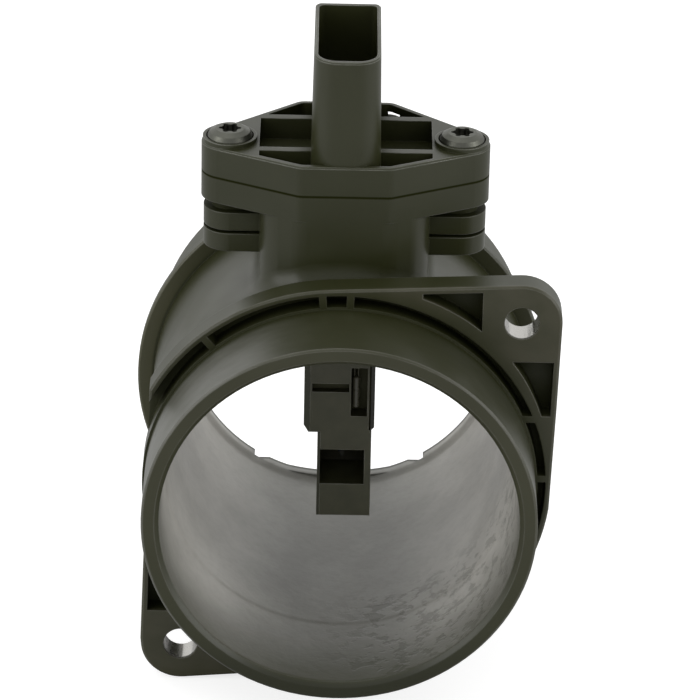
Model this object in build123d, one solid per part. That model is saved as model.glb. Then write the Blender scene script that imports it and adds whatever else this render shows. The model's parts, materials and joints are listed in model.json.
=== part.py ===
from build123d import *
import math
import os

# Mass airflow sensor: a moulded duct with a plug-in sensor.  Millimetres.
# X is across the duct, +Y is the way the air flows and +Z points to the plug.
# The origin is on the duct's axis, in the plane of the flange's mating face.

# ---------------------------------------------------------------- duct
spigot_r = 40.0             # outside of both hose spigots
front_spigot_len = 18.0     # flange face to the front rim
duct_wall = 3.6             # wall at the front rim
front_bore_draft = 0.3      # loss of radius from the rim to the flange
rim_lead = 0.9              # chamfer on the inner edge of the front rim
rim_edge = 0.4              # chamfer on the outer edge of both rims
bore_step = 0.15            # shallow step in the bore at the back of the flange
bore_step_len = 0.5
bore_draft = 1.4            # loss of radius from the step to the rear lip
collar_gap = 3.2            # back of the sensor seat to the collar
collar_height = 3.5         # collar beyond the spigot
collar_thick = 2.3
collar_edge = 0.35          # chamfer on its two outer edges
rear_spigot_len = 18.3      # back of the collar to the rear rim
lip_drop = 0.9              # inward lip at the rear rim
lip_len = 2.6
lip_lead = 1.5              # slope up to the lip
ledge_r = 48.0              # flatter floor of the rear lip
ledge_rise = 0.6            # its height above the lip at the middle
ledge_half_width = 15.3
notch_width = 3.6           # notch in the lip at each end of the ledge
notch_depth = 1.0

# ---------------------------------------------------------------- flange
flange_thick = 6.0
flange_floor = 1.6          # sheet behind the pockets
flange_edge = 0.4           # chamfer round its outline
ring_reach = 3.7            # round part of the flange beyond the spigot
ring_shift_x = -0.4         # its centre from the duct's axis
ring_shift_z = 0.5
ear_r = 8.2                 # corner round the bolt hole
side_tilt = 1.9             # lean of the straight sides, in degrees
side_gap = 0.15             # between a straight side and the round of its ear
hole_reach = 11.0           # bolt hole's centre beyond the spigot
hole_angle = 47.74          # direction of the upper hole from +X, in degrees
flange_shift_x = 1.75       # flange's centre from the duct's axis
flange_shift_z = -0.1
flange_wall = 1.2           # rim of the flange
ring_gap = 2.5              # groove between the spigot and the ring
spigot_root = 0.5           # thicker foot of the spigot, inside the groove
upper_pad = (8.0, 8.7)      # solid pad beyond the bolt hole, inwards in x and z
lower_pad = (11.5, 7.8)
corner_x = 16.0             # where the corner pockets start
corner_r = 41.2             # their inner side, and its centre from the duct's axis
corner_shift_x = 1.5
corner_shift_z = 4.2
rib_thick = 1.5
side_rib_heights = (16.0, 2.4)
ring_rib_angles = (88.0, 95.6, 130.3)
bush_bore_r = 3.5           # room for an M6 bolt
bush_wall = 0.8
bush_lip = 0.5              # plastic lip in front of the bush

# ---------------------------------------------------------------- gaps between pieces
press_gap = 0.03            # drawn round a pressed or squeezed piece
screw_gap = 0.05            # shank in its pilot hole
pin_gap = 0.05              # terminal or lead in its hole
plug_in_gap = 0.2           # sealing spigot in its port
lid_gap = 0.1               # end of a lid or plate to what it stops at
tongue_gap = 0.1
weld = 0.8                  # how far joined forms run into each other

# ---------------------------------------------------------------- sensor seat
seat_rise = 19.5            # top of the tube to the seat's face
seat_thick = 5.6
seat_gap = 5.5              # back of the flange to the front of the seat
plate_depth = 34.2          # seat and sensor plate along the duct
plate_flat = 17.0           # their straight front and rear edges
plate_corner = 3.0
screw_x = 23.6              # screws from the middle of the sensor
screw_y = -3.3
lobe_r = 5.8                # seat and plate round each screw
chimney_width = 34.6
chimney_corner = 7.0
chimney_wall = 3.2
chimney_flare = 5.0         # fillet where the chimney meets the tube
port_width = 19.4
port_wall = 2.4             # port to the seat's straight edges
port_corner = 6.0
port_land = 9.2             # height of the sealing bore

screw_r = 1.95
screw_edge = 0.5            # chamfer at its end
screw_floor_gap = 0.4       # under the screw's end
pilot_wall = 1.6
fin_reach = 1.7             # fins beyond the wall of the pilot hole
fin_gap = 0.7               # between the two fins
fin_drop = 2.1              # seat to the upper fin
boss_height = 10.7
boss_floor = 1.4

# ---------------------------------------------------------------- sensor plate
plate_thick = 6.5
plate_rim = 1.3
plate_floor = 1.9
plate_edge = 0.35           # small chamfer on the outer top edge
pocket_land = 0.5           # solid strip beside each head boss
cross_rib = 1.9
front_rib_y = -8.0          # ribs from the middle of the sensor
rear_rib_y = 8.5
head_boss_wall = 0.7
head_boss_rise = 0.9
head_gap = 0.25
head_sink = 1.5
slot_x = 9.9                # window in the rear rim
slot_width = 2.4
slot_height = 1.1
slot_drop = 1.6

screw_head_r = 4.6
screw_head_h = 3.0
head_side_h = 1.5           # upright side of the head
head_shoulder_r = 4.1
head_shoulder_h = 2.4
head_top_r = 2.9
drive_r = 1.75              # six-lobe recess
drive_lobe_r = 0.55
drive_lobes = 6
drive_depth = 1.5

# ---------------------------------------------------------------- connector
plug_height = 22.3          # above the plate
plug_inset = 0.6            # from the plate's straight edges
plug_width = 14.3
plug_front_corner = 5.5
plug_rear_corner = 1.8
plug_draft = 0.95           # degrees, on all its sides
plug_edge = 0.3
plug_side_wall = 0.75       # at the mouth
plug_end_wall = 1.2
socket_front_corner = 4.0
socket_rear_corner = 1.2
socket_depth = 19.1
pin_count = 5
pin_pitch = 3.5
pin_width = 1.6
pin_thick = 0.8
pin_height = 8.0            # above the socket's floor
pin_point = 0.24
pin_drop = 2.0              # foot below the bay's ceiling

# ---------------------------------------------------------------- sealing spigot
spigot_len = 8.0
seal_drop = 3.5             # seat to the middle of the groove
seal_groove_d = 1.85
seal_room = 0.4             # groove wider than its ring
seal_sides = 8              # flats round the ring's section

# ---------------------------------------------------------------- probe
probe_reach = 74.9          # seat to the tip
probe_inset_left = 3.1      # sides of the probe from those of the spigot
probe_inset_right = 3.3
probe_inset_front = 1.9
probe_inset_rear = 2.1
tip_height = 19.45          # narrow part
tip_inset_left = 2.25       # from the left side of the wide part
tip_offset_right = 0.25     # beyond its right side
cover_thick = 1.25
cover_chamfer = 1.7
cover_edge = 0.25           # left of the cover's thickness at the chamfer
tip_cover_thick = 0.6
base_plate_thick = 0.8
base_plate_inset = 0.2
base_plate_rise = 0.6       # above the narrow part
base_plate_edge = 0.6       # chamfer at its lower end
relief_width = 0.35         # slot in the probe's front beside the plate
relief_depth = 0.8
bay_pin_gap_front = 0.2     # electronics bay beyond the row of terminals
bay_pin_gap_rear = 2.4
bay_floor = 4.35            # walls under and over the bay
bay_ceiling = 4.0
lid_lip = 1.0               # ridge on the cover, inside the bay
lid_lip_gap = 0.15
lid_lip_wall = 0.85

tip_block = 7.4             # solid under the inlet
inlet_height = 8.0
inlet_wall_right = 1.4
channel_len = 19.0
outlet_len = 8.0
bypass_bend = 4.0

groove_inset = 0.4          # groove across the front, from the left side
groove_rise = 9.35          # above the narrow part
groove_height = 1.9
groove_depth = 1.8
groove_end_gap = 0.35       # groove to the cell
cell_inset = 0.75           # recess of the air thermistor, from the right side
cell_width = 3.4
cell_rise = 3.85
cell_height = 11.1
cell_wall = 1.0             # between the cell and the bay
bead_r = 0.75
bead_edge = 0.3
bead_shift = -0.62          # from the middle of the cell
bead_rise = 1.3
bead_len = 7.2
lead_r = 0.2
lead_spread = 0.4
lead_into_wall = 1.6

# ---------------------------------------------------------------- electronics
board_thick = 0.8
board_gap = 0.5
chip_size = (6.0, 7.0, 1.3)
chip_rise = 21.6            # above the bay's floor
cap_size = (1.6, 3.2, 1.2)
cap_rises = (30.1, 13.6)
tongue_thick = 0.8
tongue_len = 6.0
tongue_end_gap = 3.0        # in front of the end of the inlet's channel
tongue_into_bay = 5.6
tongue_tip_gap = 1.4        # above the inlet's floor
die_size = (0.4, 2.6, 5.0)

# ---------------------------------------------------------------- worked out: duct and flange
front_bore_r = spigot_r - duct_wall
step_y = flange_thick
step_r = front_bore_r - front_bore_draft - bore_step
duct_r = step_r - bore_draft
lip_r = duct_r - lip_drop
sensor_y = flange_thick + seat_gap + plate_depth / 2
front_y = -front_spigot_len
collar_start = sensor_y + plate_depth / 2 + collar_gap
collar_end = collar_start + collar_thick
rear_y = collar_end + rear_spigot_len
lip_y = rear_y - lip_len
ring_r = spigot_r + ring_reach
groove_r = spigot_r + ring_gap
root_r = spigot_r + spigot_root
bush_r = bush_bore_r + bush_wall
hole_x = (spigot_r + hole_reach) * math.cos(math.radians(hole_angle))
hole_z = (spigot_r + hole_reach) * math.sin(math.radians(hole_angle))
upper_hole = (flange_shift_x + hole_x, flange_shift_z + hole_z)
lower_hole = (flange_shift_x - hole_x, flange_shift_z - hole_z)
tilt = math.radians(side_tilt)
corner_z = side_rib_heights[0] + rib_thick / 2
side_reach = hole_x * math.cos(tilt) - hole_z * math.sin(tilt) + ear_r + side_gap

# ---------------------------------------------------------------- worked out: seat and plate
seat_top = spigot_r + seat_rise
seat_bottom = seat_top - seat_thick
boss_bottom = seat_bottom - boss_height
pilot_bottom = boss_bottom + boss_floor
pilot_r = screw_r + screw_gap
port_len = plate_depth - 2 * port_wall
land_bottom = seat_top - port_land
plate_top = seat_top + plate_thick
head_boss_r = screw_head_r + head_gap + head_boss_wall
head_boss_top = plate_top + head_boss_rise
head_floor = head_boss_top - head_sink
pocket_half_width = screw_x - head_boss_r - pocket_land
plug_top = plate_top + plug_height
plug_len = plate_depth - 2 * plug_inset
plug_foot = seat_top + plate_floor
plug_taper = (plug_top - plug_foot) * math.tan(math.radians(plug_draft))
socket_floor = plug_top - socket_depth

# ---------------------------------------------------------------- worked out: probe
spigot_width = port_width - 2 * plug_in_gap
spigot_depth = port_len - 2 * plug_in_gap
spigot_corner = port_corner - plug_in_gap
spigot_bottom = seat_top - spigot_len
seal_z = seat_top - seal_drop
seal_thick = seal_groove_d + plug_in_gap - 2 * press_gap
probe_left = probe_inset_left - spigot_width / 2
probe_right = spigot_width / 2 - probe_inset_right
probe_front = sensor_y - spigot_depth / 2 + probe_inset_front
probe_rear = sensor_y + spigot_depth / 2 - probe_inset_rear
tip_z = seat_top - probe_reach
tip_top = tip_z + tip_height
tip_left = probe_left + tip_inset_left
tip_right = probe_right + tip_offset_right
pin_row = (pin_count - 1) * pin_pitch + pin_width
bay_y0 = sensor_y - pin_row / 2 - bay_pin_gap_front
bay_y1 = sensor_y + pin_row / 2 + bay_pin_gap_rear
bay_y = (bay_y0 + bay_y1) / 2
bay_bottom = tip_top + bay_floor
bay_top = spigot_bottom - bay_ceiling
inlet_right = tip_right - inlet_wall_right
inlet_bottom = tip_z + tip_block
inlet_top = inlet_bottom + inlet_height
channel_end = probe_front + channel_len
cell_right = probe_right - cell_inset
cell_left = cell_right - cell_width
cell_depth = bay_y0 - probe_front - cell_wall
cell_bottom = tip_top + cell_rise
cell_top = cell_bottom + cell_height
bead_x = (cell_left + cell_right) / 2 + bead_shift
bead_y = probe_front + cell_depth / 2
bead_bottom = cell_bottom + bead_rise
bead_top = bead_bottom + bead_len
lead_top = cell_top + lead_into_wall
board_face = probe_right - board_thick
tongue_x = (tip_left + inlet_right) / 2
tongue_y = channel_end - tongue_end_gap - tongue_len / 2


def turned(profile):
    """Solid turned about the duct's axis from (radius, y) points."""
    return revolve(Polygon(*profile, align=None), axis=Axis.Y)


def slab(sketch, y0, y1):
    """Sketch drawn in x and z, as a slab from y0 to y1."""
    plane = Plane(origin=(0, y0, 0), x_dir=(1, 0, 0), z_dir=(0, -1, 0))
    return extrude(plane * sketch, amount=y0 - y1)


def column(sketch, z0, z1):
    """Sketch drawn in x and y, as a column from z0 to z1."""
    return extrude(Pos(0, 0, z0) * sketch, amount=z1 - z0)


def block(x0, x1, y0, y1, z0, z1):
    """Block between two corners."""
    middle = Pos((x0 + x1) / 2, (y0 + y1) / 2, (z0 + z1) / 2)
    return middle * Box(x1 - x0, y1 - y0, z1 - z0)


def on_sensor(sketch, x=0):
    """Sketch moved to the sensor's own middle line."""
    return Pos(x, sensor_y) * sketch


# ---------------------------------------------------------------- duct housing
def at_ring(sketch):
    """Sketch moved to the centre of the flange's round part."""
    return Pos(ring_shift_x, ring_shift_z) * sketch


def flange_outline():
    """Ring and two ears joined by their common tangents, between two straight sides."""
    edges = at_ring(Circle(ring_r)).edges()
    for hole in (upper_hole, lower_hole):
        edges += (Pos(*hole) * Circle(ear_r)).edges()
    between_sides = Rot(0, 0, -side_tilt) * Rectangle(2 * side_reach, 4 * ring_r)
    return make_hull(edges) & Pos(flange_shift_x, flange_shift_z) * between_sides


def flange_pockets():
    """Ribbed groove round the spigot and four corner pockets, below the mating face."""
    groove = at_ring(Circle(groove_r)) - Circle(root_r)
    corners = offset(flange_outline(), -flange_wall)
    corners -= Rectangle(2 * corner_x, 4 * ring_r)
    corners -= Rectangle(4 * ring_r, 2 * corner_z)
    far = 2 * ring_r
    for hole, pad, side in ((upper_hole, upper_pad, 1), (lower_hole, lower_pad, -1)):
        shift_x = side * (far / 2 - pad[0])
        shift_z = side * (far / 2 - pad[1])
        corners -= Pos(hole[0] + shift_x, hole[1] + shift_z) * Rectangle(far, far)
        corners -= Pos(side * corner_shift_x, side * corner_shift_z) * Circle(corner_r)
        for height in side_rib_heights:
            groove -= Pos(side * ring_r, side * height) * Rectangle(ring_r, rib_thick)
        for angle in ring_rib_angles:
            bar = Pos(side * ring_r, 0) * Rectangle(ring_r / 2, rib_thick)
            groove -= Rot(0, 0, angle) * bar
    return groove + corners


def flange():
    """Flange round the front spigot, overlapping its wall a little."""
    plate = slab(flange_outline(), 0, flange_thick)
    rims = plate.faces().filter_by(Axis.Y).edges()
    body = chamfer(rims, flange_edge) + slab(Circle(root_r), 0, flange_thick)
    body -= slab(Circle(spigot_r - weld), 0, flange_thick)
    body -= slab(flange_pockets(), 0, flange_thick - flange_floor)
    for hole in (upper_hole, lower_hole):
        body -= slab(Pos(*hole) * Circle(bush_bore_r), 0, bush_lip)
        body -= slab(Pos(*hole) * Circle(bush_r + press_gap), bush_lip, flange_thick)
    return body


def collar():
    """Hose stop round the rear spigot, overlapping its wall a little."""
    outside = spigot_r + collar_height
    inside = spigot_r - weld
    return turned([
        (inside, collar_start),
        (outside - collar_edge, collar_start),
        (outside, collar_start + collar_edge),
        (outside, collar_end - collar_edge),
        (outside - collar_edge, collar_end),
        (inside, collar_end),
    ])


def tube():
    """Outside of the duct from rim to rim."""
    return turned([
        (0, front_y),
        (spigot_r - rim_edge, front_y),
        (spigot_r, front_y + rim_edge),
        (spigot_r, rear_y - rim_edge),
        (spigot_r - rim_edge, rear_y),
        (0, rear_y),
    ])


def bore():
    """Stepped and tapered way through the duct."""
    return turned([
        (0, front_y - weld),
        (front_bore_r + rim_lead + weld, front_y - weld),
        (front_bore_r, front_y + rim_lead),
        (front_bore_r - front_bore_draft, step_y),
        (step_r, step_y + bore_step_len),
        (duct_r, lip_y - lip_lead),
        (lip_r, lip_y),
        (lip_r, rear_y + weld),
        (0, rear_y + weld),
    ])


def rear_ledge():
    """Flatter floor at the bottom of the rear lip."""
    wide = Pos(0, -duct_r) * Rectangle(2 * ledge_half_width, duct_r)
    floor = wide - Pos(0, ledge_r - lip_r + ledge_rise) * Circle(ledge_r)
    return slab(floor, lip_y, rear_y + weld)


def lip_notch(side):
    """Notch in the lip beside one end of the ledge."""
    half = notch_width / 2
    x = side * (ledge_half_width + half)
    z = -math.sqrt(lip_r ** 2 - x ** 2)
    return block(x - half, x + half, lip_y, rear_y + weld, z - notch_depth, z + lip_drop)


def air_way():
    """The bore, with the shape of the rear lip in it."""
    return bore() - rear_ledge() + lip_notch(-1) + lip_notch(1)


def at_screw(sketch, side):
    """Sketch moved to the left or right screw."""
    return on_sensor(Pos(0, screw_y) * sketch, side * screw_x)


def plate_outline(inset=0):
    """Outline that the sensor plate and its seat share, or one that lies inside it."""
    edges = ShapeList()
    for x in (-plate_flat / 2, plate_flat / 2):
        for y in (plate_corner - plate_depth / 2, plate_depth / 2 - plate_corner):
            edges += on_sensor(Pos(0, y) * Circle(plate_corner), x).edges()
    for side in (-1, 1):
        edges += at_screw(Circle(lobe_r), side).edges()
    return offset(make_hull(edges), -inset)


def chimney_outline():
    """Middle of the seat's outline, with rounded corners."""
    core = plate_outline(chimney_corner)
    core &= on_sensor(Rectangle(chimney_width - 2 * chimney_corner, plate_depth))
    return offset(core, chimney_corner)


def neck():
    """Tube and chimney, with a flared seam between them."""
    barrel = tube()
    chimney = column(chimney_outline(), step_r / 2, seat_bottom)
    body = barrel + chimney
    return fillet(new_edges(barrel, chimney, combined=body), chimney_flare)


def boss_section(radius, side):
    """Round end at the screw, running in to the chimney."""
    bar = Pos(-side * screw_x / 2, 0) * Rectangle(screw_x, 2 * radius)
    return at_screw(bar + Circle(radius), side)


def finned_boss(side):
    """Screw boss under the seat: a core with two thick fins."""
    core_r = pilot_r + pilot_wall
    boss = column(boss_section(core_r, side), boss_bottom, seat_bottom)
    fin = (boss_height - fin_drop - fin_gap) / 2
    for z in (boss_bottom, boss_bottom + fin + fin_gap):
        boss += column(boss_section(core_r + fin_reach, side), z, z + fin)
    return boss


def port():
    """Sealing bore through the seat and the hollow of the chimney under it."""
    hollow = offset(chimney_outline(), -chimney_wall)
    land = RectangleRounded(port_width, port_len, port_corner)
    return column(on_sensor(land), land_bottom, seat_top) + column(hollow, 0, land_bottom)


def seat():
    """Sensor seat with the two screw bosses under it."""
    body = column(plate_outline(), seat_bottom, seat_top)
    return body + finned_boss(-1) + finned_boss(1)


def duct_housing():
    body = neck() + seat()
    body -= port()
    body -= air_way()
    body += flange()
    body += collar()
    for side in (-1, 1):
        body -= column(at_screw(Circle(pilot_r), side), pilot_bottom, seat_top)
    return body


def bush(hole):
    """Steel sleeve in a bolt hole of the flange."""
    return slab(Pos(*hole) * (Circle(bush_r) - Circle(bush_bore_r)), bush_lip, flange_thick)


# ---------------------------------------------------------------- sensor body
def plate_pockets():
    """Three pockets between the rim, the cross ribs and the screw bosses."""
    strip = 2 * pocket_half_width
    room = plate_outline(plate_rim) & on_sensor(Rectangle(strip, plate_depth))
    for y in (front_rib_y, rear_rib_y):
        room -= Pos(0, sensor_y + y) * Rectangle(strip, cross_rib)
    return column(room, seat_top + plate_floor, plate_top)


def sensor_plate():
    """Screwed-down plate with its pockets, head bosses and rear window."""
    plate = column(plate_outline(), seat_top, plate_top)
    plate = chamfer(plate.faces().sort_by(Axis.Z)[-1].edges(), plate_edge) - plate_pockets()
    for side in (-1, 1):
        plate += column(at_screw(Circle(head_boss_r), side), plate_top - weld, head_boss_top)
        plate -= column(at_screw(Circle(screw_head_r + head_gap), side), head_floor, head_boss_top)
        plate -= column(at_screw(Circle(screw_r + head_gap), side), seat_top, head_floor)
    rear = sensor_y + plate_depth / 2
    window_top = plate_top - slot_drop
    return plate - block(slot_x - slot_width / 2, slot_x + slot_width / 2,
                         rear - 3 * plate_rim, rear, window_top - slot_height, window_top)


def plug_outline(width, length, front_corner, rear_corner):
    """Rectangle with larger corners at the front than at the rear."""
    outline = Rectangle(width, length)
    outline = fillet(outline.vertices().group_by(Axis.Y)[0], front_corner)
    outline = fillet(outline.vertices().group_by(Axis.Y)[-1], rear_corner)
    return on_sensor(outline)


def connector_shell():
    """Upright plug shell, drafted on all its sides."""
    foot = plug_outline(plug_width, plug_len, plug_front_corner, plug_rear_corner)
    shell = extrude(Pos(0, 0, plug_foot) * foot, amount=plug_top - plug_foot, taper=plug_draft)
    return chamfer(shell.faces().sort_by(Axis.Z)[-1].edges(), plug_edge)


def socket():
    """Room for the cable plug inside the shell."""
    outline = plug_outline(
        plug_width - 2 * (plug_taper + plug_side_wall),
        plug_len - 2 * (plug_taper + plug_end_wall),
        socket_front_corner,
        socket_rear_corner,
    )
    return column(outline, socket_floor, plug_top)


def seal_spigot():
    """Block that plugs the port, with the groove for its ring."""
    outline = on_sensor(RectangleRounded(spigot_width, spigot_depth, spigot_corner))
    floor = on_sensor(RectangleRounded(
        spigot_width - 2 * seal_groove_d,
        spigot_depth - 2 * seal_groove_d,
        spigot_corner - seal_groove_d,
    ))
    half = (seal_thick + seal_room) / 2
    return column(outline, spigot_bottom, seat_top) - column(outline - floor, seal_z - half, seal_z + half)


def bypass():
    """Air way through the tip: in at the front, out at the bottom, closed by a lid on its left."""
    way = block(tip_left, inlet_right, probe_front, channel_end, inlet_bottom, inlet_top)
    way += block(tip_left, inlet_right, channel_end - outlet_len, channel_end, tip_z, inlet_top)
    top_edges = way.edges().filter_by(Axis.X).group_by(Axis.Z)[-1]
    return fillet(top_edges.sort_by(Axis.Y)[-1], bypass_bend)


def probe_body():
    """Wide part with the electronics bay over a narrow part with the bypass."""
    wide = block(probe_left, probe_right, probe_front, probe_rear, tip_top, spigot_bottom)
    wide -= block(probe_left, probe_right, bay_y0, bay_y1, bay_bottom, bay_top)
    groove_z = tip_top + groove_rise
    wide -= block(probe_left + groove_inset, cell_left - groove_end_gap,
                  probe_front, probe_front + groove_depth, groove_z, groove_z + groove_height)
    wide -= block(cell_left, cell_right, probe_front, probe_front + cell_depth, cell_bottom, cell_top)
    wide -= block(probe_right - relief_width, probe_right,
                  probe_front, probe_front + relief_depth, tip_top + base_plate_rise, spigot_bottom)
    return wide + block(tip_left, tip_right, probe_front, probe_rear, tip_z, tip_top) - bypass()


def pin_y(number):
    return sensor_y + (number - (pin_count - 1) / 2) * pin_pitch


def pin_slot(number):
    """Hole for one terminal between the socket and the electronics bay."""
    half_thick = pin_thick / 2 + pin_gap
    half_width = pin_width / 2 + pin_gap
    y = pin_y(number)
    return block(-half_thick, half_thick, y - half_width, y + half_width, bay_top, socket_floor)


def tongue_slot():
    """Hole between the electronics bay and the bypass."""
    half_thick = tongue_thick / 2 + tongue_gap
    half_len = tongue_len / 2 + tongue_gap
    return block(tongue_x - half_thick, tongue_x + half_thick,
                 tongue_y - half_len, tongue_y + half_len, inlet_top - weld, bay_bottom)


def lead_place(side):
    return Pos(bead_x + side * lead_spread, bead_y)


def sensor_body():
    body = sensor_plate() + connector_shell() + seal_spigot() + probe_body()
    body -= socket()
    for number in range(pin_count):
        body -= pin_slot(number)
    body -= tongue_slot()
    for side in (-1, 1):
        body -= column(lead_place(side) * Circle(lead_r + pin_gap), cell_top, lead_top)
    return body


# ---------------------------------------------------------------- pieces on the probe
def electronics_cover():
    """Lid on the left of the bay, with a ridge that sits inside it."""
    lid = block(probe_left - cover_thick, probe_left,
                probe_front, probe_rear, tip_top, spigot_bottom - lid_gap)
    lower_edges = lid.edges().filter_by(Axis.Y).group_by(Axis.Z)[0]
    lid = chamfer(lower_edges.sort_by(Axis.X)[0], cover_chamfer, cover_thick - cover_edge)
    inner = probe_left + lid_lip
    gap = lid_lip_gap
    wall = lid_lip_gap + lid_lip_wall
    ridge = block(probe_left, inner, bay_y0 + gap, bay_y1 - gap, bay_bottom + gap, bay_top - gap)
    ridge -= block(probe_left, inner, bay_y0 + wall, bay_y1 - wall, bay_bottom + wall, bay_top - wall)
    return lid + ridge


def bypass_cover():
    """Lid on the left of the bypass."""
    return block(tip_left - tip_cover_thick, tip_left, probe_front, probe_rear, tip_z, tip_top - lid_gap)


def base_plate():
    """Metal plate on the right of the bay, which carries the board."""
    plate = block(probe_right, probe_right + base_plate_thick,
                  probe_front + base_plate_inset, probe_rear - base_plate_inset,
                  tip_top + base_plate_rise, spigot_bottom - lid_gap)
    lower_edges = plate.edges().filter_by(Axis.Y).group_by(Axis.Z)[0]
    return chamfer(lower_edges.sort_by(Axis.X)[-1], base_plate_edge)


def circuit_board():
    return block(board_face, probe_right, bay_y0 + board_gap, bay_y1 - board_gap,
                 bay_bottom + board_gap, bay_top - board_gap)


def board_piece(size, rise):
    """Component on the middle line of the board's inner face."""
    width, height, thick = size
    z = bay_bottom + rise
    return block(board_face - thick, board_face, bay_y - width / 2, bay_y + width / 2,
                 z - height / 2, z + height / 2)


def sensor_tongue():
    """Ceramic strip that holds the sensing die in the bypass."""
    return block(tongue_x - tongue_thick / 2, tongue_x + tongue_thick / 2,
                 tongue_y - tongue_len / 2, tongue_y + tongue_len / 2,
                 inlet_bottom + tongue_tip_gap, bay_bottom + tongue_into_bay)


def sensing_die():
    """Hot-film die on the tongue, halfway up the inlet."""
    thick, width, height = die_size
    face = tongue_x - tongue_thick / 2
    z = (inlet_bottom + inlet_top) / 2
    return block(face - thick, face, tongue_y - width / 2, tongue_y + width / 2,
                 z - height / 2, z + height / 2)


def thermistor_bead():
    bead = column(Pos(bead_x, bead_y) * Circle(bead_r), bead_bottom, bead_top)
    return chamfer(bead.edges().filter_by(GeomType.CIRCLE), bead_edge)


def thermistor_lead(side):
    return column(lead_place(side) * Circle(lead_r), bead_top, lead_top)


def terminal(number):
    """Blade in the socket that runs down and turns in to the board."""
    y0 = pin_y(number) - pin_width / 2
    y1 = pin_y(number) + pin_width / 2
    foot = bay_top - pin_drop
    blade = block(-pin_thick / 2, pin_thick / 2, y0, y1, foot, socket_floor + pin_height)
    blade = chamfer(blade.edges().filter_by(Axis.Y).group_by(Axis.Z)[-1], pin_point)
    return blade + block(0, board_face, y0, y1, foot, foot + pin_thick)


def o_ring():
    """Ring that fills the groove and meets the wall of the port."""
    inset = seal_groove_d - press_gap - seal_thick / 2
    path = RectangleRounded(
        spigot_width - 2 * inset,
        spigot_depth - 2 * inset,
        spigot_corner - inset,
    ).wire()
    path = Pos(0, sensor_y, seal_z) * path
    section = Plane(origin=path @ 0, z_dir=path % 0) * RegularPolygon(seal_thick / 2, seal_sides)
    return sweep(section, path=path)


def screw(side):
    """Round-headed screw with a six-lobe recess."""
    end = pilot_bottom + screw_floor_gap
    top = head_floor + screw_head_h
    profile = [
        (0, end),
        (screw_r - screw_edge, end),
        (screw_r, end + screw_edge),
        (screw_r, head_floor),
        (screw_head_r, head_floor),
        (screw_head_r, head_floor + head_side_h),
        (head_shoulder_r, head_floor + head_shoulder_h),
        (head_top_r, top),
        (0, top),
    ]
    body = revolve(Plane.XZ * Polygon(*profile, align=None), axis=Axis.Z)
    recess = Circle(drive_r)
    recess += PolarLocations(drive_r, drive_lobes) * Circle(drive_lobe_r)
    body -= column(recess, top - drive_depth, top)
    return at_screw(body, side)


nodes = {
    "duct_housing": duct_housing(),
    "flange_bush_upper": bush(upper_hole),
    "flange_bush_lower": bush(lower_hole),
    "sensor_body": sensor_body(),
    "electronics_cover": electronics_cover(),
    "bypass_cover": bypass_cover(),
    "base_plate": base_plate(),
    "circuit_board": circuit_board(),
    "signal_chip": board_piece(chip_size, chip_rise),
    "sensor_tongue": sensor_tongue(),
    "sensing_die": sensing_die(),
    "thermistor_bead": thermistor_bead(),
    "o_ring": o_ring(),
    "screw_left": screw(-1),
    "screw_right": screw(1),
}
for number, rise in enumerate(cap_rises, start=1):
    nodes[f"capacitor_{number}"] = board_piece(cap_size, rise)
for number, side in enumerate((-1, 1), start=1):
    nodes[f"thermistor_lead_{number}"] = thermistor_lead(side)
for number in range(pin_count):
    nodes[f"terminal_{number + 1}"] = terminal(number)

os.makedirs("parts", exist_ok=True)
for name, solid in nodes.items():
    export_step(solid, f"parts/{name}.step")
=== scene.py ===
"""Looks of the mass airflow sensor: materials, floor, light and camera."""
import json
import math

import bpy
from mathutils import Matrix, Vector


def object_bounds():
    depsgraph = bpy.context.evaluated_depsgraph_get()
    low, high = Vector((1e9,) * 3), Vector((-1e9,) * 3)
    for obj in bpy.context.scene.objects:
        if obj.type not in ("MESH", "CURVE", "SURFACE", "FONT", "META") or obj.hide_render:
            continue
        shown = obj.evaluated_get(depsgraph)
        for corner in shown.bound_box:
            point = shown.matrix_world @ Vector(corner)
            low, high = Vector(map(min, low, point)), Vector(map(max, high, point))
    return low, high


MM = 0.001

# Camera: where it looks from, in degrees, and how large it sees the part.
IMAGE_PIXELS = 700
FOCAL_PIXELS = 4560
SENSOR_WIDTH = 36.0
CAMERA_AZIMUTH = 0.36
CAMERA_ELEVATION = 26.25
CAMERA_ROLL = 1.21
CAMERA_DISTANCE = 900 * MM
CAMERA_TARGET = Vector((1.43, -18.0, 39.92)) * MM

# Studio, with places and sizes in metres.
FLOOR_GAP = 0.3 * MM
FLOOR_HALF_SIZE = 6.0
FLOOR_COLOUR = (0.5, 0.5, 0.5)
FLOOR_GLOW = 0.75           # added to what the camera sees of the floor
FLOOR_GLOW_REFLECTED = 0.1  # added to what reflections and refractions see of it
SKY_FRONT = 0.62            # light from behind the camera
SKY_BACK = 1.08             # light from behind the part
SKY_SIDES = (-0.5, 0.8)     # directions along the duct between which it changes
SIDE_AIM = (0, 0.02, 0.02)
SIDE_SIZE = (0.7, 0.9)
SOFTBOXES = (               # name, place, aim, size, watts
    ("top_softbox", (-0.3, -0.1, 1.2), (0, 0.02, 0), (1.2, 1.0), 2.0),
    ("left_softbox", (-1.0, -0.45, 0.4), SIDE_AIM, SIDE_SIZE, 4.5),
    ("right_softbox", (1.0, -0.4, 0.3), SIDE_AIM, SIDE_SIZE, 5.0),
)

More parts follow.
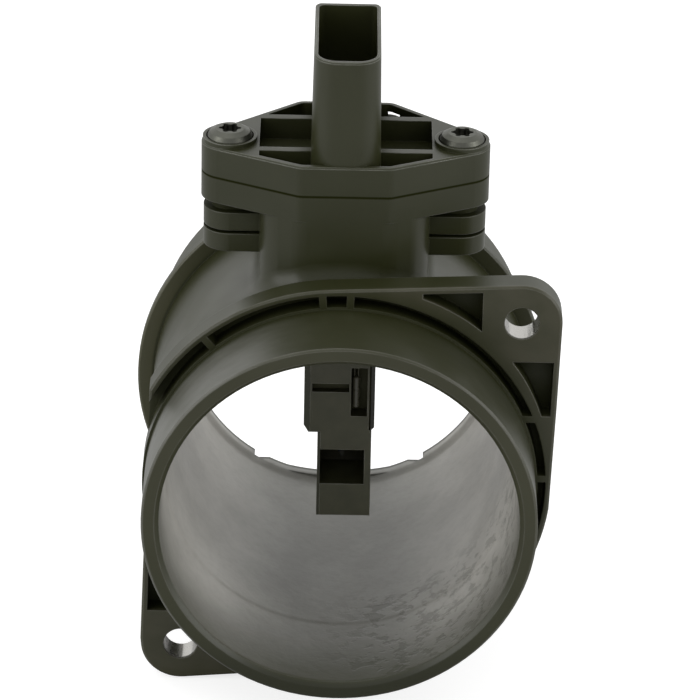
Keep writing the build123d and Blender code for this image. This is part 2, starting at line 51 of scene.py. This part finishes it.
# Colours, as linear values.
PLASTIC = (0.0215, 0.0235, 0.0065)
PLASTIC_LIGHT = (0.0275, 0.0295, 0.011)
PLASTIC_EDGE_WEAR_AND_HIGHLIGHT = (0.14, 0.14, 0.12)       # edges, lighter as wear and a painted highlight
PLATE_EDGE_WEAR_AND_HIGHLIGHT = (0.3, 0.3, 0.27)           # the same on the sensor, lighter, as edge wear and a painted highlight
PAINTED_SHADE_AND_JOINT = (0.013, 0.0145, 0.003)          # painted shade in corners and pockets, and the dark joint
DUST = (0.3, 0.298, 0.275)              # in the bore
BORE_SIDE_TONE = (0.64, 0.62, 0.57)         # in the bore, paler towards its sides
DUST_AND_PAINTED_RIM_LIGHT = (0.23, 0.2, 0.155)           # dust on the flange's ears; on the front rim, dust and painted light, lighter towards the top
# dust on the collar, with painted light that grows towards its left
COLLAR_DUST_AND_LIGHT = (0.24, 0.23, 0.14)
PROBE_DUST = (0.36, 0.34, 0.22)
SPIGOT_HIGHLIGHT = (0.2, 0.2, 0.185)           # painted highlight on the front spigot's outside

# Any of the plastics.
NOISE_SPAN = (0.3, 0.7)         # where most of a noise's values lie
SHADE_SIZE = 22 * MM            # patches of the two plastic colours
SHADE_SPAN = (0.35, 0.65)
CORNER_REACH = 5 * MM           # how far an opposite wall counts for openness
EDGE_RADIUS = 0.3 * MM
EDGE_TURN = (0.995, 0.92)       # cosines from the face's normal to the softened one
EDGE_OPENNESS = (0.8, 0.95)     # only edges that stand out get the edge wear and painted highlight
EDGE_PATCH_SIZE = 5 * MM
# shares of edge wear and painted highlight, in patches
EDGE_WEAR_AND_HIGHLIGHT = (0.35, 0.8)
# painted shade in corners and pockets, set by their openness
PAINTED_SHADE_OPENNESS = (0.65, 0.2)
PAINTED_SHADE_SHARE = 0.5
SHEEN_OPENNESS = (0.35, 0.85)
SHEEN = (0.15, 0.5)             # specular level in corners and on open faces, lowered in corners as painted shade
GLOSS_PATCH_SIZE = 9 * MM
GLOSS_SPREAD = (-0.02, 0.03)    # added to the roughness
CORNER_OPENNESS = (0.9, 0.2)
CORNER_ROUGHNESS = 0.3          # added to the roughness
GRAIN_SIZE = 0.3 * MM
GRAIN_DEPTH = 0.006 * MM
GRAIN_STRENGTH = 0.3
PLASTIC_IOR = 1.46
HOUSING_ROUGHNESS = 0.37
HOUSING_EDGE_RADIUS = 0.4 * MM
SENSOR_ROUGHNESS = 0.36
COVER_ROUGHNESS = 0.34
JOINT_HEIGHT = 59.5 * MM        # between the sensor's plate and its seat
JOINT_HALF_WIDTH = 0.4 * MM
JOINT_DARK_HALF_WIDTH = 0.2 * JOINT_HALF_WIDTH

# Dust and scuffs in the bore. Places are in the part's own frame, as they are below.
BORE_WALL = (37.8 * MM, 37.6 * MM)      # distance from the bore's axis
BORE_FRONT = (-17.3 * MM, -16.6 * MM)   # the dust starts behind the front rim
BORE_REAR = (69.2 * MM, 68.2 * MM)      # and ends at the rear rim
BORE_DEEP = (-17 * MM, 6 * MM)          # along which it grows to its full strength
BORE_DEEP_SHARES = (0.2, 1.0)
BORE_SIDES = (8 * MM, 34 * MM)          # distances from the middle where it gets paler
BORE_EDGE_RADIUS = 1.6 * MM             # softens the step in the bore
FILM_SIZE = 14 * MM
FILM_SPAN = (0.3, 0.75)
FILM_SHARES = (0.78, 1.0)
SPECK_SIZE = 2.2 * MM
SPECK_SPAN = (0.3, 0.6)
SPECK_SHARES = (0.93, 1.0)
FINE_ROUGHNESS = 0.6                    # share of the small lumps in specks and scuffs
SCUFFS_ACROSS = (-10 * MM, 14 * MM)     # the scuffs start between these
SCUFFS_BACK = (24 * MM, 8 * MM)         # and end between these
SCUFF_SIZE = 3.2 * MM
SCUFF_SPAN = (0.48, 0.62)
SCUFF_SHARE = 0.33
LUMP_SPECKS = 0.3                       # height of the specks against the scuffs' depth
LUMP_DEPTH = 0.35 * MM
LUMP_STRENGTH = 0.7

# Painted highlight on the front spigot's outside.
SPIGOT_HIGHLIGHT_FRONT = (-0.5 * MM, -3 * MM)       # the spigot starts between these
SPIGOT_HIGHLIGHT_RADII = (39.4 * MM, 39.9 * MM)     # the rim's face keeps clear of it
SPIGOT_HIGHLIGHT_LEFT = (-4 * MM, -27 * MM)         # it grows towards the left,
SPIGOT_HIGHLIGHT_LEFT_SHARES = (0.03, 0.42)
SPIGOT_HIGHLIGHT_RIGHT = (10 * MM, 27 * MM)         # and less towards the right
SPIGOT_HIGHLIGHT_RIGHT_SHARE = 0.09
STREAK_SIZE = 6 * MM
STREAK_STRETCH = (1, 3, 1)
STREAK_SHARES = (0.7, 1.0)

# Dust on the flange's ears and the probe; dust with painted light on the collar and the front
# rim, and painted shade on the rim's lowest part.
FLANGE_FACE = (1.2 * MM, 0.5 * MM)
EARS = (41 * MM, 47 * MM)               # it grows towards the flange's ears
EAR_PATCH_SIZE = 8 * MM
EAR_SHARES = (0.05, 0.12)
COLLAR_FACE = 48.9 * MM
COLLAR_DEPTH = (0.6 * MM, 0.2 * MM)     # distances from its face
COLLAR_RADII = (40.1 * MM, 40.8 * MM)
COLLAR_SIDES = (-20 * MM, -42 * MM)     # it grows towards the left, painted light from that side
COLLAR_DUST_AND_LIGHT_SHARES = (0.04, 0.2)
RIM_FACE = (-17.0 * MM, -17.7 * MM)
RIM_HEIGHTS = (-30 * MM, 0 * MM)        # it fades out towards the rim's lowest part, leaving the top painted lighter,
RIM_DUST_AND_LIGHT_SHARE = 0.045
RIM_LOW = (-22 * MM, -36 * MM)          # and the lowest part is painted darker, as shade
RIM_PAINTED_SHADE_SHARE = 0.9
PROBE_HEIGHTS = (38 * MM, 32 * MM)      # it starts between these, from above
PROBE_SHARE = 0.1
PROBE_PATCH_SIZE = 4 * MM
PROBE_SHARES = (0.6, 1.0)

# Bare metals, and ceramic, resin or rubber.
DARK_SHADE = 0.8                        # the darker of the two shades of a colour
METAL_MARK_SIZE = 0.6 * MM
METAL_MARK_DEPTH = 0.01 * MM
METAL_MARK_STRENGTH = 0.4
METAL_GLOSS_SPREAD = (-0.06, 0.08)
METAL_EDGE_RADIUS = 0.12 * MM
ALONG_BUSH = (1, 0.15, 1)               # marks drawn out along a bush
ALONG_TERMINAL = (1, 1, 0.15)           # or along a terminal
SMOOTH_CLOUD_SIZE = 3 * MM
BEAD_CLOUD_SIZE = 1 * MM
SMOOTH_DEPTH = 0.01 * MM
SMOOTH_STRENGTH = 0.3
SMOOTH_GLOSS_SPREAD = (-0.05, 0.05)
SMOOTH_EDGE_RADIUS = 0.08 * MM


def around(value, spread):
    return value + spread[0], value + spread[1]


# ---------------------------------------------------------------- node helpers
class Shader:
    """A new material with its Principled node, and short calls that add nodes to it."""

    def __init__(self, name):
        self.material = bpy.data.materials.new(name)
        self.material.use_nodes = True
        self.tree = self.material.node_tree
        self.surface = next(n for n in self.tree.nodes if n.type == "BSDF_PRINCIPLED")
        self.place = self.add("ShaderNodeTexCoord").outputs["Object"]

    def add(self, kind, **settings):
        node = self.tree.nodes.new(kind)
        for key, value in settings.items():
            setattr(node, key, value)
        return node

    def link(self, source, target):
        self.tree.links.new(source, target)

    def surface_socket(self, key):
        """A socket of the Principled node, with _ for a space in its name."""
        return self.surface.inputs[key.replace("_", " ")]

    def set(self, **numbers):
        """Numbers that are the same all over the surface."""
        for key, number in numbers.items():
            self.surface_socket(key).default_value = number

    def vary(self, **sources):
        """Values that change over the surface, from other nodes."""
        for key, source in sources.items():
            self.link(source, self.surface_socket(key))

    def fill(self, socket, value):
        """A socket's value, from another node, a number or a colour."""
        if hasattr(value, "links"):
            self.link(value, socket)
        else:
            socket.default_value = (*value, 1.0) if isinstance(value, tuple) else value

    def noise(self, size, detail, roughness=0.5, stretch=(1, 1, 1)):
        """Noise from 0 to 1, whose lumps are about size metres across."""
        mapping = self.add("ShaderNodeMapping")
        mapping.inputs["Scale"].default_value = stretch
        self.link(self.place, mapping.inputs["Vector"])
        node = self.add("ShaderNodeTexNoise")
        self.link(mapping.outputs["Vector"], node.inputs["Vector"])
        node.inputs["Scale"].default_value = 1.0 / size
        node.inputs["Detail"].default_value = detail
        node.inputs["Roughness"].default_value = roughness
        return node.outputs["Fac"]

    def ramp(self, value, span, levels=(0.0, 1.0)):
        """Value moved from the span onto the levels, and held there."""
        node = self.add("ShaderNodeMapRange", interpolation_type="SMOOTHSTEP")
        self.link(value, node.inputs["Value"])
        node.inputs["From Min"].default_value, node.inputs["From Max"].default_value = span
        node.inputs["To Min"].default_value, node.inputs["To Max"].default_value = levels
        return node.outputs["Result"]

    def math(self, operation, first, second=0.0):
        node = self.add("ShaderNodeMath", operation=operation)
        self.fill(node.inputs[0], first)
        self.fill(node.inputs[1], second)
        return node.outputs[0]

    def product(self, first, *others):
        for other in others:
            first = self.math("MULTIPLY", first, other)
        return first

    def rest(self, share):
        """What a share leaves of 1."""
        return self.math("SUBTRACT", 1.0, share)

    def distance(self, value, middle):
        return self.math("ABSOLUTE", self.math("SUBTRACT", value, middle))

    def blend(self, share, first, second):
        """Colour that goes from first to second."""
        node = self.add("ShaderNodeMix", data_type="RGBA")
        self.fill(node.inputs["Factor"], share)
        for socket, colour in zip((s for s in node.inputs if s.type == "RGBA"), (first, second)):
            self.fill(socket, colour)
        return next(s for s in node.outputs if s.type == "RGBA")

    def blend_normals(self, share, first, second):
        node = self.add("ShaderNodeMix", data_type="VECTOR")
        self.link(share, node.inputs["Factor"])
        sockets = [s for s in node.inputs if s.type == "VECTOR"]
        self.link(first, sockets[-2])
        self.link(second, sockets[-1])
        return next(s for s in node.outputs if s.type == "VECTOR")

    def bump(self, height, depth, strength, over):
        node = self.add("ShaderNodeBump")
        self.link(height, node.inputs["Height"])
        node.inputs["Distance"].default_value = depth
        node.inputs["Strength"].default_value = strength
        self.link(over, node.inputs["Normal"])
        return node.outputs["Normal"]

    def soft_edges(self, radius):
        node = self.add("ShaderNodeBevel", samples=6)
        node.inputs["Radius"].default_value = radius
        return node.outputs["Normal"]

    def face_normal(self):
        return self.add("ShaderNodeNewGeometry").outputs["Normal"]

    def place_parts(self):
        """The x, y and z of the place, in the part's own frame."""
        node = self.add("ShaderNodeSeparateXYZ")
        self.link(self.place, node.inputs[0])
        return node.outputs

    def openness(self, reach):
        """1 on an open face, falling towards 0 in a corner or a narrow pocket."""
        node = self.add("ShaderNodeAmbientOcclusion", samples=6)
        node.inputs["Distance"].default_value = reach
        return node.outputs["AO"]

    def edges(self, soft):
        """1 where the soft normal leaves the face's own, as it does along an edge."""
        node = self.add("ShaderNodeVectorMath", operation="DOT_PRODUCT")
        self.link(soft, node.inputs[0])
        self.link(self.face_normal(), node.inputs[1])
        return self.ramp(node.outputs["Value"], EDGE_TURN)


# ---------------------------------------------------------------- materials
def moulded(name, roughness, edge=EDGE_RADIUS, joint=False, edge_wear_and_highlight_colour=PLASTIC_EDGE_WEAR_AND_HIGHLIGHT):
    """Dark moulded plastic with a fine grain, edges lightened by wear and a painted highlight,
    and painted shade in its corners.

    Returns the shader, and the colour and normal that it ends with.
    """
    shader = Shader(name)
    soft = shader.soft_edges(edge)
    openness = shader.openness(CORNER_REACH)
    shade = shader.ramp(shader.noise(SHADE_SIZE, detail=2), SHADE_SPAN)
    colour = shader.blend(shade, PLASTIC, PLASTIC_LIGHT)
    # edges lightened by wear and a painted highlight
    edge_wear_and_highlight = shader.ramp(shader.noise(EDGE_PATCH_SIZE, detail=3), NOISE_SPAN, EDGE_WEAR_AND_HIGHLIGHT)
    outer_edges = shader.product(shader.edges(soft), shader.ramp(openness, EDGE_OPENNESS))
    colour = shader.blend(shader.product(outer_edges, edge_wear_and_highlight), colour, edge_wear_and_highlight_colour)
    # painted shade: darker in corners and pockets
    painted_shade = shader.ramp(openness, PAINTED_SHADE_OPENNESS, (0.0, PAINTED_SHADE_SHARE))
    colour = shader.blend(painted_shade, colour, PAINTED_SHADE_AND_JOINT)
    grain = shader.noise(GRAIN_SIZE, detail=2)
    normal = shader.bump(grain, GRAIN_DEPTH, GRAIN_STRENGTH, over=soft)
    # specular level lowered in corners and pockets, a painted shade
    sheen = shader.ramp(openness, SHEEN_OPENNESS, SHEEN)
    if joint:
        away = shader.distance(shader.place_parts()[2], JOINT_HEIGHT)
        gap = shader.ramp(away, (JOINT_HALF_WIDTH, JOINT_DARK_HALF_WIDTH))
        colour = shader.blend(gap, colour, PAINTED_SHADE_AND_JOINT)
        sheen = shader.product(sheen, shader.rest(gap))
        normal = shader.blend_normals(gap, normal, shader.face_normal())
    patches = shader.noise(GLOSS_PATCH_SIZE, detail=2)
    worn = shader.ramp(patches, NOISE_SPAN, around(roughness, GLOSS_SPREAD))
    dull = shader.ramp(openness, CORNER_OPENNESS, (0.0, CORNER_ROUGHNESS))
    shader.vary(
        Base_Color=colour,
        Roughness=shader.math("ADD", worn, dull),
        Specular_IOR_Level=sheen,
        Normal=normal,
    )
    shader.set(IOR=PLASTIC_IOR)
    return shader, colour, normal


def dust_and_painted_light_outside(shader, colour, place, radius):
    """Painted highlight on the front spigot, dust on the flange's ears, dust with painted light
    on the collar and the front rim, and painted shade low on the rim.
    """
    x, y, z = place
    # painted highlight on the spigot, stronger towards the left
    left = shader.ramp(x, SPIGOT_HIGHLIGHT_LEFT, SPIGOT_HIGHLIGHT_LEFT_SHARES)
    right = shader.ramp(x, SPIGOT_HIGHLIGHT_RIGHT, (0.0, SPIGOT_HIGHLIGHT_RIGHT_SHARE))
    streaks = shader.noise(STREAK_SIZE, detail=4, stretch=STREAK_STRETCH)
    spigot_highlight = shader.product(
        shader.ramp(y, SPIGOT_HIGHLIGHT_FRONT),
        shader.ramp(radius, SPIGOT_HIGHLIGHT_RADII),
        shader.math("ADD", left, right),
        shader.ramp(streaks, NOISE_SPAN, STREAK_SHARES),
    )
    colour = shader.blend(spigot_highlight, colour, SPIGOT_HIGHLIGHT)
    patches = shader.noise(EAR_PATCH_SIZE, detail=4)
    ears = shader.product(
        shader.ramp(y, FLANGE_FACE),
        shader.ramp(radius, EARS),
        shader.ramp(patches, NOISE_SPAN, EAR_SHARES),
    )
    colour = shader.blend(ears, colour, DUST_AND_PAINTED_RIM_LIGHT)
    # dust on the collar's face, with painted light growing towards the left
    collar = shader.product(
        shader.ramp(shader.distance(y, COLLAR_FACE), COLLAR_DEPTH),
        shader.ramp(radius, COLLAR_RADII),
        shader.ramp(x, COLLAR_SIDES, COLLAR_DUST_AND_LIGHT_SHARES),
    )
    colour = shader.blend(collar, colour, COLLAR_DUST_AND_LIGHT)
    rim = shader.ramp(y, RIM_FACE)
    # dust on the rim's face, with painted light growing towards the top
    rim_dust_and_light = shader.product(rim, shader.ramp(z, RIM_HEIGHTS, (0.0, RIM_DUST_AND_LIGHT_SHARE)))
    colour = shader.blend(rim_dust_and_light, colour, DUST_AND_PAINTED_RIM_LIGHT)
    # painted shade, darker towards the rim's lowest part
    rim_painted_shade = shader.product(rim, shader.ramp(z, RIM_LOW, (0.0, RIM_PAINTED_SHADE_SHARE)))
    return shader.blend(rim_painted_shade, colour, PAINTED_SHADE_AND_JOINT)


def housing_plastic():
    """The duct's plastic, with dust, painted light and painted shade outside, and dust and
    scuffs in its bore.
    """
    shader, colour, normal = moulded(
        "housing_plastic", HOUSING_ROUGHNESS, edge=HOUSING_EDGE_RADIUS, joint=True
    )
    x, y, z = place = shader.place_parts()
    squares = shader.math("ADD", shader.product(x, x), shader.product(z, z))
    radius = shader.math("SQRT", squares)
    colour = dust_and_painted_light_outside(shader, colour, place, radius)
    inside = shader.product(
        shader.ramp(radius, BORE_WALL),
        shader.ramp(y, BORE_FRONT),
        shader.ramp(y, BORE_REAR),
    )
    specks = shader.noise(SPECK_SIZE, detail=3, roughness=FINE_ROUGHNESS)
    scuffs = shader.noise(SCUFF_SIZE, detail=4, roughness=FINE_ROUGHNESS)
    scuffs = shader.product(
        shader.ramp(x, SCUFFS_ACROSS),
        shader.ramp(y, SCUFFS_BACK),
        shader.ramp(scuffs, SCUFF_SPAN, (0.0, SCUFF_SHARE)),
    )
    film = shader.product(
        shader.ramp(shader.noise(FILM_SIZE, detail=4), FILM_SPAN, FILM_SHARES),
        shader.ramp(y, BORE_DEEP, BORE_DEEP_SHARES),
        shader.ramp(specks, SPECK_SPAN, SPECK_SHARES),
        shader.rest(scuffs),
    )
    paler = shader.ramp(shader.math("ABSOLUTE", x), BORE_SIDES)
    # the bore's colour, paler towards its sides
    dust = shader.blend(paler, DUST, BORE_SIDE_TONE)
    colour = shader.blend(shader.product(inside, film), colour, dust)
    normal = shader.blend_normals(inside, normal, shader.soft_edges(BORE_EDGE_RADIUS))
    lumps = shader.math("SUBTRACT", shader.product(specks, LUMP_SPECKS), scuffs)
    lumps = shader.product(inside, lumps)
    normal = shader.bump(lumps, LUMP_DEPTH, LUMP_STRENGTH, over=normal)
    shader.vary(Base_Color=colour, Normal=normal)
    return shader.material


def sensor_plastic():
    """The sensor's plastic, with a film of dust on the probe, which hangs in the air stream."""
    # its edges lighter than the duct's, as edge wear and a painted highlight
    shader, colour, _ = moulded(
        "sensor_plastic", SENSOR_ROUGHNESS, joint=True, edge_wear_and_highlight_colour=PLATE_EDGE_WEAR_AND_HIGHLIGHT
    )
    patches = shader.noise(PROBE_PATCH_SIZE, detail=4)
    film = shader.product(
        shader.ramp(shader.place_parts()[2], PROBE_HEIGHTS, (0.0, PROBE_SHARE)),
        shader.ramp(patches, NOISE_SPAN, PROBE_SHARES),
    )
    shader.vary(Base_Color=shader.blend(film, colour, PROBE_DUST))
    return shader.material


def cover_plastic():
    return moulded("cover_plastic", COVER_ROUGHNESS)[0].material


def two_shades(shader, share, colour):
    return shader.blend(share, tuple(DARK_SHADE * c for c in colour), colour)


def metal(name, colour, roughness, stretch=(1, 1, 1)):
    """Bare metal with fine tool marks."""
    shader = Shader(name)
    marks = shader.noise(METAL_MARK_SIZE, detail=4, stretch=stretch)
    soft = shader.soft_edges(METAL_EDGE_RADIUS)
    shader.vary(
        Base_Color=two_shades(shader, marks, colour),
        Roughness=shader.ramp(marks, NOISE_SPAN, around(roughness, METAL_GLOSS_SPREAD)),
        Normal=shader.bump(marks, METAL_MARK_DEPTH, METAL_MARK_STRENGTH, over=soft),
    )
    shader.set(Metallic=1.0)
    return shader.material


def smooth(name, colour, roughness, size=SMOOTH_CLOUD_SIZE):
    """Ceramic, resin or rubber with a little cloudiness."""
    shader = Shader(name)
    cloud = shader.noise(size, detail=4)
    soft = shader.soft_edges(SMOOTH_EDGE_RADIUS)
    shader.vary(
        Base_Color=two_shades(shader, cloud, colour),
        Roughness=shader.ramp(cloud, NOISE_SPAN, around(roughness, SMOOTH_GLOSS_SPREAD)),
        Normal=shader.bump(cloud, SMOOTH_DEPTH, SMOOTH_STRENGTH, over=soft),
    )
    return shader.material


def dress(frame):
    """One material for each of the record's slots, on the nodes that use the slot."""
    looks = {
        "housing": housing_plastic(),
        "sensor_case": sensor_plastic(),
        "probe_cover": cover_plastic(),
        "bush": metal("bush_steel", (0.52, 0.51, 0.48), 0.26, stretch=ALONG_BUSH),
        "screw": metal("screw_steel", (0.13, 0.132, 0.112), 0.42),
        "seal": smooth("seal_rubber", (0.02, 0.02, 0.02), 0.7),
        "carrier": metal("carrier_plate", (0.05, 0.05, 0.045), 0.35),
        "board": smooth("board_ceramic", (0.6, 0.6, 0.55), 0.5),
        "chip": smooth("chip_resin", (0.02, 0.02, 0.022), 0.4),
        "capacitor": smooth("capacitor_ceramic", (0.35, 0.24, 0.14), 0.45),
        "tongue": smooth("tongue_ceramic", (0.03, 0.03, 0.02), 0.4),
        "die": smooth("die_silicon", (0.03, 0.035, 0.05), 0.2),
        "bead": smooth("bead_glass", (0.075, 0.072, 0.05), 0.3, size=BEAD_CLOUD_SIZE),
        "lead": metal("lead_wire", (0.07, 0.068, 0.05), 0.35),
        "terminal": metal("terminal_tin", (0.72, 0.7, 0.66), 0.3, stretch=ALONG_TERMINAL),
    }
    for part in frame["record"]["subparts"]:
        for slot in frame["nodes"][part["node"]].material_slots:
            slot.material = looks[part["material_slot"]]


# ---------------------------------------------------------------- studio
def floor_paper():
    """Diffuse paper with a glow that only the camera, reflections and refractions see."""
    material = bpy.data.materials.new("floor_paper")
    material.use_nodes = True
    tree = material.node_tree
    tree.nodes.clear()
    output = tree.nodes.new("ShaderNodeOutputMaterial")
    paper = tree.nodes.new("ShaderNodeBsdfDiffuse")
    paper.inputs["Color"].default_value = (*FLOOR_COLOUR, 1.0)
    glow = tree.nodes.new("ShaderNodeEmission")
    both = tree.nodes.new("ShaderNodeAddShader")
    rays = tree.nodes.new("ShaderNodeLightPath")
    total = None
    for ray, share in (
        ("Is Camera Ray", FLOOR_GLOW),
        ("Is Glossy Ray", FLOOR_GLOW_REFLECTED),
        ("Is Transmission Ray", FLOOR_GLOW_REFLECTED),
    ):
        seen = tree.nodes.new("ShaderNodeMath")
        seen.operation = "MULTIPLY_ADD"
        seen.inputs[1].default_value = share
        seen.inputs[2].default_value = 0.0
        tree.links.new(rays.outputs[ray], seen.inputs[0])
        if total is not None:
            tree.links.new(total, seen.inputs[2])
        total = seen.outputs[0]
    tree.links.new(total, glow.inputs["Strength"])
    tree.links.new(paper.outputs[0], both.inputs[0])
    tree.links.new(glow.outputs[0], both.inputs[1])
    tree.links.new(both.outputs[0], output.inputs["Surface"])
    return material


def add_floor(height):
    """Pale floor that looks white to the camera and keeps the part's shadow."""
    bpy.ops.mesh.primitive_plane_add(size=2 * FLOOR_HALF_SIZE, location=(0, 0, height))
    floor = bpy.context.object
    floor.name = "floor"
    floor.data.materials.append(floor_paper())


def add_sky():
    """Soft light all round, stronger from behind the part; plain white to the camera."""
    world = bpy.data.worlds.new("studio")
    bpy.context.scene.world = world
    world.use_nodes = True
    tree = world.node_tree
    sky = next(n for n in tree.nodes if n.type == "BACKGROUND")
    sky.inputs["Color"].default_value = (1.0, 1.0, 1.0, 1.0)
    place = tree.nodes.new("ShaderNodeTexCoord")
    parts = tree.nodes.new("ShaderNodeSeparateXYZ")
    tree.links.new(place.outputs["Generated"], parts.inputs[0])
    light = tree.nodes.new("ShaderNodeMapRange")
    light.interpolation_type = "SMOOTHSTEP"
    light.inputs["From Min"].default_value, light.inputs["From Max"].default_value = SKY_SIDES
    light.inputs["To Min"].default_value = SKY_FRONT
    light.inputs["To Max"].default_value = SKY_BACK
    tree.links.new(parts.outputs["Y"], light.inputs["Value"])
    rays = tree.nodes.new("ShaderNodeLightPath")
    strength = tree.nodes.new("ShaderNodeMapRange")
    strength.inputs["To Max"].default_value = 1.0
    tree.links.new(rays.outputs["Is Camera Ray"], strength.inputs["Value"])
    tree.links.new(light.outputs["Result"], strength.inputs["To Min"])
    tree.links.new(strength.outputs["Result"], sky.inputs["Strength"])


def add_softbox(name, place, aim, size, watts):
    data = bpy.data.lights.new(name, "AREA")
    data.shape = "RECTANGLE"
    data.size, data.size_y = size
    data.energy = watts
    lamp = bpy.data.objects.new(name, data)
    bpy.context.scene.collection.objects.link(lamp)
    lamp.location = place
    lamp.rotation_euler = (Vector(aim) - Vector(place)).to_track_quat("-Z", "Y").to_euler()


def add_camera():
    azimuth, elevation, roll = map(math.radians, (CAMERA_AZIMUTH, CAMERA_ELEVATION, CAMERA_ROLL))
    forward = Vector((
        math.sin(azimuth) * math.cos(elevation),
        math.cos(azimuth) * math.cos(elevation),
        -math.sin(elevation),
    ))
    level_right = Vector((math.cos(azimuth), -math.sin(azimuth), 0))
    level_up = level_right.cross(forward)
    right = math.cos(roll) * level_right + math.sin(roll) * level_up
    up = math.cos(roll) * level_up - math.sin(roll) * level_right
    data = bpy.data.cameras.new("camera")
    data.sensor_width = SENSOR_WIDTH
    data.lens = SENSOR_WIDTH * FOCAL_PIXELS / IMAGE_PIXELS
    camera = bpy.data.objects.new("camera", data)
    bpy.context.scene.collection.objects.link(camera)
    turn = Matrix((right, up, -forward)).transposed()
    place = CAMERA_TARGET - CAMERA_DISTANCE * forward
    camera.matrix_world = Matrix.Translation(place) @ turn.to_4x4()
    bpy.context.scene.camera = camera


def as_lists(bounds):
    return [list(corner) for corner in bounds]


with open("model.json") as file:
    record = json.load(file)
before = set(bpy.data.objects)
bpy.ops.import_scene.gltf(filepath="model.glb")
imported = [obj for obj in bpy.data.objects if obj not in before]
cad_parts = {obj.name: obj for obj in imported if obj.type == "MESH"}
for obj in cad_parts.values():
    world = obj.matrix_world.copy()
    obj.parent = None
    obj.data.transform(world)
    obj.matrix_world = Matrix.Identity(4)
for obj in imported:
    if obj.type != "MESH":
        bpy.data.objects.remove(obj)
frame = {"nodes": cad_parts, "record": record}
cad_box = as_lists(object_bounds())
bpy.context.scene.view_settings.view_transform = "Standard"
add_camera()
add_sky()
add_floor(cad_box[0][2] - FLOOR_GAP)
for softbox in SOFTBOXES:
    add_softbox(*softbox)
dress(frame)
